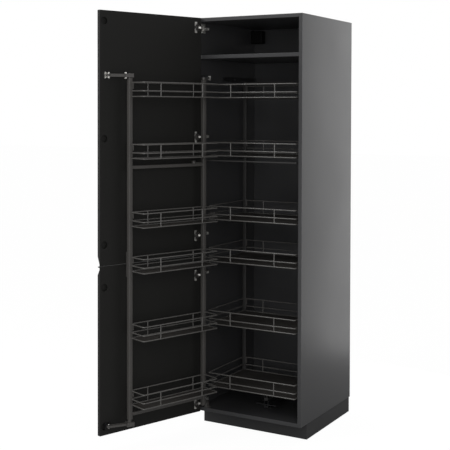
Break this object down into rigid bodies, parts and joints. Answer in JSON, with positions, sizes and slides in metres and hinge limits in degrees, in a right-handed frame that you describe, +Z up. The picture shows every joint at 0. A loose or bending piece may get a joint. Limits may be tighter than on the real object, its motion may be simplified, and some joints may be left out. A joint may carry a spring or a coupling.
{
  "type": "pantry cabinet",
  "caption": "Tall larder cabinet whose hinged door swings out a front frame of baskets while a rear frame of baskets slides forward, with a fixed shelf above.",
  "frame": {"origin": "middle of the front plinth board's underside, on the floor", "axes": "+X to the right seen from the front, +Y to the back, +Z up; the door stands open by 110 degrees"},
  "size_m": [0.782, 1.1776, 2.08],
  "materials": {
    "carcass_board": "dark grey laminated board, satin",
    "door_board": "near-black foiled door board, satin",
    "plinth_board": "black laminated plinth board, satin",
    "frame_steel": "anthracite powder coat, satin",
    "basket_steel": "anthracite powder coat, satin",
    "runner_steel": "black coated steel, satin",
    "nickel": "bright nickel-plated steel",
    "black_plastic": "black moulded plastic, fine texture"
  },
  "bodies": {
    "cabinet": {"left_side_panel": "carcass_board", "right_side_panel": "carcass_board", "top_panel": "carcass_board", "bottom_panel": "carcass_board", "back_panel": "carcass_board", "fixed_shelf": "carcass_board", "left_hanger_cover": "black_plastic", "right_hanger_cover": "black_plastic", "leg_front_left": "black_plastic", "leg_front_right": "black_plastic", "leg_back_left": "black_plastic", "leg_back_right": "black_plastic", "front_plinth": "plinth_board", "left_plinth": "plinth_board", "right_plinth": "plinth_board", "upper_runner_rail": "runner_steel", "lower_runner_rail": "runner_steel", "upper_pivot_bracket": "nickel", "lower_pivot_bracket": "nickel", "hinge_arm_1": "nickel", "hinge_arm_2": "nickel", "hinge_arm_3": "nickel", "hinge_arm_4": "nickel", "hinge_arm_5": "nickel"},
    "hinge_links": {"hinge_link_1": "nickel", "hinge_link_2": "nickel", "hinge_link_3": "nickel", "hinge_link_4": "nickel", "hinge_link_5": "nickel"},
    "door": {"upper_door": "door_board", "lower_door": "door_board", "door_joining_plate": "frame_steel", "hinge_cup_1": "nickel", "hinge_cup_2": "nickel", "hinge_cup_3": "nickel", "hinge_cup_4": "nickel", "hinge_cup_5": "nickel", "upper_stay_bracket": "frame_steel", "lower_stay_bracket": "frame_steel"},
    "stay_rods": {"upper_stay_rod": "frame_steel", "lower_stay_bar": "frame_steel"},
    "stay_sleeves": {"upper_stay_sleeve": "frame_steel", "lower_stay_carriage": "frame_steel"},
    "front_frame_body": {"front_frame": "frame_steel", "front_basket_1": "basket_steel", "front_basket_2": "basket_steel", "front_basket_3": "basket_steel", "front_basket_4": "basket_steel", "front_basket_5": "basket_steel", "front_basket_6": "basket_steel"},
    "rear_frame_body": {"rear_frame": "frame_steel", "rear_basket_1": "basket_steel", "rear_basket_2": "basket_steel", "rear_basket_3": "basket_steel", "rear_basket_4": "basket_steel", "rear_basket_5": "basket_steel", "rear_basket_6": "basket_steel", "upper_runner_slide": "runner_steel", "lower_runner_slide": "runner_steel"}
  },
  "joints": [
    {"name": "hinge_link_turn", "type": "hinge", "parent": "cabinet", "child": "hinge_links", "pos_m": [-0.258, -0.084, 0.98], "axis": [0, 0, 1], "range_deg": [-58, 0]},
    {"name": "door_swing", "type": "hinge", "parent": "hinge_links", "child": "door", "pos_m": [-0.26573, -0.11336, 0.98], "axis": [0, 0, 1], "range_deg": [0, 168]},
    {"name": "front_frame_swing", "type": "hinge", "parent": "cabinet", "child": "front_frame_body", "pos_m": [-0.24, -0.073, 0.98], "axis": [0, 0, 1], "range_deg": [0, 110]},
    {"name": "stay_rod_turn", "type": "hinge", "parent": "door", "child": "stay_rods", "pos_m": [-0.4336, -0.63597, 0.98], "axis": [0, 0, 1], "range_deg": [-67.28, 0]},
    {"name": "stay_sleeve_turn", "type": "hinge", "parent": "front_frame_body", "child": "stay_sleeves", "pos_m": [-0.37217, -0.55434, 0.98], "axis": [0, 0, 1], "range_deg": [-67.28, 0]},
    {"name": "rear_frame_slide", "type": "slide", "parent": "cabinet", "child": "rear_frame_body", "axis": [0, 1, 0], "range_m": [0, 0.195]}
  ],
  "couplings": [
    {"joint": "hinge_link_turn", "follows": "door_swing", "ratio": -0.34524},
    {"joint": "front_frame_swing", "follows": "door_swing", "ratio": 0.65476},
    {"joint": "stay_rod_turn", "follows": "door_swing", "ratio": -0.40044},
    {"joint": "stay_sleeve_turn", "follows": "door_swing", "ratio": -0.40044},
    {"joint": "rear_frame_slide", "follows": "door_swing", "m_per_rad": 0.066504}
  ]
}
